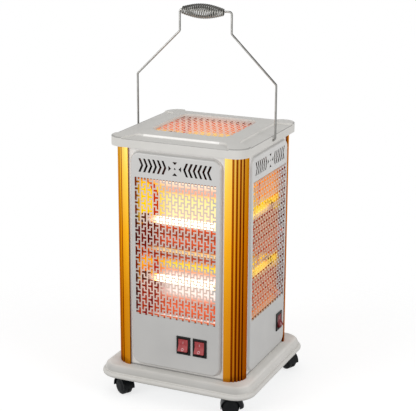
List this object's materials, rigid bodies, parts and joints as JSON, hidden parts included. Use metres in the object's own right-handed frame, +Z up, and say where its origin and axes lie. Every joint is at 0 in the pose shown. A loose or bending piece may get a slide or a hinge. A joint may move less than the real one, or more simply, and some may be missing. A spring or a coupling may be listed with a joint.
{
  "type": "quartz heater",
  "caption": "Square free-standing quartz heater on casters, with pierced grilles on its sides and top, fluted gold corner columns, rocker switches and a wire bail with a coiled grip.",
  "frame": {"origin": "on the floor under the heater's upright axis", "axes": "+Z up; the front with its pair of switches faces -Y; the bail's pivots lie along X"},
  "size_m": [0.284, 0.284, 0.6679],
  "materials": {
    "body_plastic": "satin light grey moulding",
    "plate_steel": "grey primer",
    "screw_steel": "zinc plated",
    "panel_steel": "satin grey enamel",
    "reflector_steel": "bright rolled sheet",
    "quartz": "milky quartz, glowing",
    "cap_ceramic": "unglazed white ceramic",
    "gold_aluminium": "gold anodised, drawn",
    "caster_plastic": "black moulding",
    "wheel_plastic": "black nylon",
    "switch_plastic": "black moulding",
    "rocker_plastic": "translucent red",
    "wire_steel": "plated wire",
    "grip_steel": "plated wire",
    "gland_plastic": "black moulding"
  },
  "bodies": {
    "cabinet": {"base_tray": "body_plastic", "top_frame": "body_plastic", "base_bottom_plate": "plate_steel", "base_screws": "screw_steel", "top_grille": "panel_steel", "top_reflector": "reflector_steel", "top_tube": "quartz", "top_tube_caps": "cap_ceramic", "front_panel": "panel_steel", "front_reflector": "reflector_steel", "front_upper_tube": "quartz", "front_lower_tube": "quartz", "front_tube_caps": "cap_ceramic", "right_panel": "panel_steel", "right_reflector": "reflector_steel", "right_upper_tube": "quartz", "right_lower_tube": "quartz", "right_tube_caps": "cap_ceramic", "rear_panel": "panel_steel", "rear_reflector": "reflector_steel", "rear_upper_tube": "quartz", "rear_lower_tube": "quartz", "rear_tube_caps": "cap_ceramic", "left_panel": "panel_steel", "left_reflector": "reflector_steel", "left_upper_tube": "quartz", "left_lower_tube": "quartz", "left_tube_caps": "cap_ceramic", "front_left_column": "gold_aluminium", "front_right_column": "gold_aluminium", "rear_right_column": "gold_aluminium", "rear_left_column": "gold_aluminium", "front_inner_switch": "switch_plastic", "front_outer_switch": "switch_plastic", "right_switch": "switch_plastic", "rear_switch": "switch_plastic", "left_switch": "switch_plastic", "cord_gland": "gland_plastic"},
    "bail": {"handle_wire": "wire_steel"},
    "grip": {"handle_grip": "grip_steel"},
    "front_inner_rocker": {"front_inner_rocker": "rocker_plastic"},
    "front_outer_rocker": {"front_outer_rocker": "rocker_plastic"},
    "right_rocker": {"right_rocker": "rocker_plastic"},
    "rear_rocker": {"rear_rocker": "rocker_plastic"},
    "left_rocker": {"left_rocker": "rocker_plastic"},
    "front_left_caster": {"front_left_caster_hood": "caster_plastic"},
    "front_left_wheels": {"front_left_caster_wheels": "wheel_plastic"},
    "front_right_caster": {"front_right_caster_hood": "caster_plastic"},
    "front_right_wheels": {"front_right_caster_wheels": "wheel_plastic"},
    "rear_right_caster": {"rear_right_caster_hood": "caster_plastic"},
    "rear_right_wheels": {"rear_right_caster_wheels": "wheel_plastic"},
    "rear_left_caster": {"rear_left_caster_hood": "caster_plastic"},
    "rear_left_wheels": {"rear_left_caster_wheels": "wheel_plastic"}
  },
  "joints": [
    {"name": "bail_swing", "type": "hinge", "parent": "cabinet", "child": "bail", "pos_m": [0, 0, 0.4496], "axis": [1, 0, 0], "range_deg": [-81, 81]},
    {"name": "grip_slide", "type": "slide", "parent": "bail", "child": "grip", "axis": [1, 0, 0], "range_m": [0, 0.0105]},
    {"name": "front_inner_rocker_tilt", "type": "hinge", "parent": "cabinet", "child": "front_inner_rocker", "pos_m": [0.0155, -0.1175, 0.1105], "axis": [1, 0, 0], "range_deg": [0, 24]},
    {"name": "front_outer_rocker_tilt", "type": "hinge", "parent": "cabinet", "child": "front_outer_rocker", "pos_m": [0.0455, -0.1175, 0.1105], "axis": [1, 0, 0], "range_deg": [0, 24]},
    {"name": "right_rocker_tilt", "type": "hinge", "parent": "cabinet", "child": "right_rocker", "pos_m": [0.1175, 0.054, 0.1105], "axis": [0, 1, 0], "range_deg": [0, 24]},
    {"name": "rear_rocker_tilt", "type": "hinge", "parent": "cabinet", "child": "rear_rocker", "pos_m": [-0.054, 0.1175, 0.1105], "axis": [-1, 0, 0], "range_deg": [0, 24]},
    {"name": "left_rocker_tilt", "type": "hinge", "parent": "cabinet", "child": "left_rocker", "pos_m": [-0.1175, -0.054, 0.1105], "axis": [0, -1, 0], "range_deg": [0, 24]},
    {"name": "front_left_caster_swivel", "type": "hinge", "parent": "cabinet", "child": "front_left_caster", "pos_m": [-0.11, -0.11, 0.036], "axis": [0, 0, 1], "continuous": true},
    {"name": "front_left_wheels_spin", "type": "hinge", "parent": "front_left_caster", "child": "front_left_wheels", "pos_m": [-0.10047, -0.1155, 0.015], "axis": [0.5, 0.866, 0], "continuous": true},
    {"name": "front_right_caster_swivel", "type": "hinge", "parent": "cabinet", "child": "front_right_caster", "pos_m": [0.11, -0.11, 0.036], "axis": [0, 0, 1], "continuous": true},
    {"name": "front_right_wheels_spin", "type": "hinge", "parent": "front_right_caster", "child": "front_right_wheels", "pos_m": [0.10003, -0.11465, 0.015], "axis": [0.4226, -0.9063, 0], "continuous": true},
    {"name": "rear_right_caster_swivel", "type": "hinge", "parent": "cabinet", "child": "rear_right_caster", "pos_m": [0.11, 0.11, 0.036], "axis": [0, 0, 1], "continuous": true},
    {"name": "rear_right_wheels_spin", "type": "hinge", "parent": "rear_right_caster", "child": "rear_right_wheels", "pos_m": [0.11997, 0.10535, 0.015], "axis": [0.4226, 0.9063, 0], "continuous": true},
    {"name": "rear_left_caster_swivel", "type": "hinge", "parent": "cabinet", "child": "rear_left_caster", "pos_m": [-0.11, 0.11, 0.036], "axis": [0, 0, 1], "continuous": true},
    {"name": "rear_left_wheels_spin", "type": "hinge", "parent": "rear_left_caster", "child": "rear_left_wheels", "pos_m": [-0.12034, 0.11376, 0.015], "axis": [-0.342, -0.9397, 0], "continuous": true}
  ]
}
